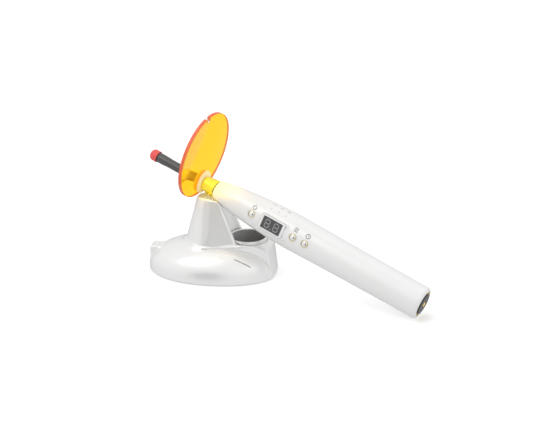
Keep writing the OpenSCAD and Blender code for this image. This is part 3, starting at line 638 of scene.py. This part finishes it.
ferrule_profile = [(GUIDE_R + 0.03, 0.0), (4.93, 0.0), (4.93, 0.25), (6.7, 0.25), (6.8, 0.75)]
SEAM_RINGS = len(ferrule_profile) - 1
ferrule_profile += rounded([(7.2, 0.8), (7.42, 1.1), (6.95, 6.0), (FERRULE_FRONT_R, FERRULE_FRONT - 0.5),
                            (FERRULE_FRONT_R - 0.5, FERRULE_FRONT), (GUIDE_R + 0.03, FERRULE_FRONT)], 0.35)
ferrule = lathe("guide_collar", ferrule_profile, PEN, "light_guide", [FERRULE, SEAM_DARK], 128,
                (False, False), bands=[(0, SEAM_RINGS, 1)])
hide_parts("guide_ferrule")
sleeve_profile = [(GUIDE_R, -SPIGOT), (GUIDE_R, 40.0), (GUIDE_R + 0.02, 49.0), (GUIDE_R + 0.2, 52.0),
                  (GUIDE_R + 0.38, 54.5), (GUIDE_R + 0.4, CAP_BACK - 0.9), (GUIDE_R + 0.3, CAP_BACK - 0.5),
                  (GUIDE_R, CAP_BACK - 0.3), (GUIDE_R, REACH), (GUIDE_R - 0.66, REACH)]
sleeve = lathe("guide_rod", sleeve_profile, PEN, "light_guide", SLEEVE, 96, (False, False))
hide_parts("guide_sleeve")

cap_profile = [(GUIDE_R + 0.04, REACH), (GUIDE_R + 0.04, CAP_BACK + 0.5), (GUIDE_R + 0.25, CAP_BACK + 0.1),
                (GUIDE_R + 0.7, CAP_BACK), (GUIDE_R + 0.9, CAP_BACK + 0.15), (4.95, CAP_BACK + 0.5),
                (4.95, CAP_FRONT - 3.4)]
cap_profile += [(1.75 + 3.2 * math.cos(a), CAP_FRONT - 3.4 + 3.4 * math.sin(a)) for a in QUARTER]
cap_profile += [(1.2, CAP_FRONT), (0.0, CAP_FRONT)]
# The first four steps, inside the cap's mouth round the guide, are dark red as painted shade.
cap = lathe("silicone_cap", cap_profile, PEN, "cap", [CORAL, CORAL_RIM], 96, (True, False),
            bands=[(0, 4, 1)])
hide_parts("tip_cap")

SHIELD_R, SHIELD_T, WAIST_R = 37.4, 3.0, 8.2
disc_middle = middle("shield_disc")
DISC = axes_at(HUB, disc_middle - HUB, HUB_AXIS)
offset = (disc_middle - HUB).length / MM
NOTCH_HALF, NOTCH_DEEP, EDGE = 1.9, 3.4, 0.3


def disc_angles():
    half = math.asin(NOTCH_HALF / SHIELD_R)
    turns = [half * k / 2 for k in range(-2, 3)]
    free = 2 * math.pi - 2 * half
    return ([(-half, SHIELD_R)] + [(a, SHIELD_R - NOTCH_DEEP) for a in turns]
            + [(half + free * k / 240, SHIELD_R) for k in range(240)])


def disc_loop(inset, z):
    return [(offset + (r - inset) * math.cos(a), (r - inset) * math.sin(a), z) for a, r in disc_angles()]


def hub_loop(r, z):
    return [(r * math.cos(a), r * math.sin(a), z) for a, _ in disc_angles()]


half_t = SHIELD_T / 2
disc_loops = [hub_loop(WAIST_R + 0.05, half_t - 0.15), hub_loop(WAIST_R + 0.2, half_t), disc_loop(EDGE, half_t),
              disc_loop(EDGE * 0.3, half_t - EDGE * 0.3), disc_loop(0, half_t - EDGE), disc_loop(0, -half_t + EDGE),
              disc_loop(EDGE * 0.3, -half_t + EDGE * 0.3), disc_loop(EDGE, -half_t),
              hub_loop(WAIST_R + 0.2, -half_t), hub_loop(WAIST_R + 0.05, -half_t + 0.15),
              hub_loop(WAIST_R + 0.05, half_t - 0.15)]
disc_points, disc_faces = skin(disc_loops, (False, False))
per_ring = len(disc_loops[0])


def disc_material(face):
    """The faces are clear, the rim is red-orange and the notch's cut walls are pale."""
    step, place = divmod(face, per_ring)
    if not 2 <= step <= 6:
        return 0
    return 2 if place < 5 or place == per_ring - 1 else 1


disc = add_mesh("eye_shield", disc_points, disc_faces, DISC, "shield",
                [AMBER, AMBER_EDGE, AMBER_CUT], indices=[disc_material(k) for k in range(len(disc_faces))])
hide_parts("shield_disc")
disc.visible_glossy = False
bm = bmesh.new()
bm.from_mesh(disc.data)
bmesh.ops.remove_doubles(bm, verts=bm.verts, dist=1e-6)
bm.to_mesh(disc.data)
bm.free()


# ---------------------------------------------------------------- studio

def add_plane(name, size, at, material):
    mesh = bpy.data.meshes.new(name)
    h = size / 2
    mesh.from_pydata([(-h, -h, 0), (h, -h, 0), (h, h, 0), (-h, h, 0)], [], [(0, 1, 2, 3)])
    mesh.materials.append(material)
    piece = bpy.data.objects.new(name, mesh)
    piece.location = at
    bpy.context.scene.collection.objects.link(piece)
    return piece


def add_light(name, at, aim, size, power, colour=(1, 1, 1)):
    light = bpy.data.lights.new(name, "AREA")
    light.shape = "RECTANGLE"
    light.size, light.size_y = size
    light.energy = power
    light.color = colour
    lamp = bpy.data.objects.new(name, light)
    lamp.location = at
    lamp.rotation_euler = (Vector(aim) - Vector(at)).to_track_quat("-Z", "Y").to_euler()
    bpy.context.scene.collection.objects.link(lamp)
    return lamp


DARK_CARD = Vector((-0.15, -0.985, 0.02)).normalized()


def soft_world(stops):
    """A studio bright overhead and dimmer below, with a dark card in front; stops are (height 0 to 1, grey)."""
    world = bpy.data.worlds.new("studio")
    world.use_nodes = True
    tree = world.node_tree
    place = tree.nodes.new("ShaderNodeTexCoord")
    split = tree.nodes.new("ShaderNodeSeparateXYZ")
    height = tree.nodes.new("ShaderNodeMapRange")
    height.inputs["From Min"].default_value = -1.0
    ramp = tree.nodes.new("ShaderNodeValToRGB")
    ramp.color_ramp.interpolation = "EASE"
    elements = ramp.color_ramp.elements
    while len(elements) < len(stops):
        elements.new(0.5)
    for element, (at, grey) in zip(elements, stops):
        element.position = at
        element.color = (grey, grey, grey, 1)
    tree.links.new(place.outputs["Generated"], split.inputs["Vector"])
    tree.links.new(split.outputs["Z"], height.inputs["Value"])
    tree.links.new(height.outputs["Result"], ramp.inputs["Fac"])
    tree.links.new(ramp.outputs["Color"], tree.nodes["Background"].inputs["Color"])
    nearness = tree.nodes.new("ShaderNodeVectorMath")
    nearness.operation = "DOT_PRODUCT"
    nearness.inputs[1].default_value = DARK_CARD
    shade = tree.nodes.new("ShaderNodeMapRange")
    shade.interpolation_type = "SMOOTHSTEP"
    shade.inputs["From Min"].default_value = 0.93
    shade.inputs["To Min"].default_value = 1.0
    shade.inputs["To Max"].default_value = 0.12
    tree.links.new(place.outputs["Generated"], nearness.inputs[0])
    tree.links.new(nearness.outputs["Value"], shade.inputs["Value"])
    tree.links.new(shade.outputs["Result"], tree.nodes["Background"].inputs["Strength"])
    return world


FLOOR = surface("studio_floor", (0.95, 0.95, 0.95), 0.9, mottle=0.01, mottle_mm=400, grain=0.0, emit=0.18)
floor = add_plane("floor", 8.0, (0, 0, 0), FLOOR)
floor.visible_diffuse = False
floor.visible_glossy = False
bpy.context.scene.world = soft_world([(0.0, 0.86), (0.42, 0.88), (0.58, 0.96), (0.75, 0.98), (1.0, 0.96)])
bpy.context.scene.view_settings.view_transform = "Standard"
CENTRE = Vector((0.04, -0.01, 0.05))
add_light("key", (-0.5, -0.6, 1.2), CENTRE, (0.8, 0.8), 2.6)
add_light("fill", (0.9, -0.9, 0.6), CENTRE, (0.7, 0.7), 0.4)
add_light("top", (0.1, 0.3, 1.4), CENTRE, (1.4, 0.8), 1.0)
GLOW_FROM = DISC @ Vector((6.0, 0.0, -14.0))
glow = add_light("shield_glow", GLOW_FROM, PEN @ Vector((0, 0, -6.0)), (0.03, 0.03), 0.007, (1.0, 0.74, 0.03))
glow.data.spread = math.radians(95)
glow.visible_camera = False
glow.visible_glossy = False

camera_data = bpy.data.cameras.new("camera")
camera_data.lens = 87.8
camera_data.sensor_width = 36.0
camera = bpy.data.objects.new("camera", camera_data)
camera.location = (0.2401, -0.9855, 0.4699)
camera.rotation_euler = Vector((-0.17629, 0.90691, -0.38268)).to_track_quat("-Z", "Y").to_euler()
bpy.context.scene.collection.objects.link(camera)
bpy.context.scene.camera = camera
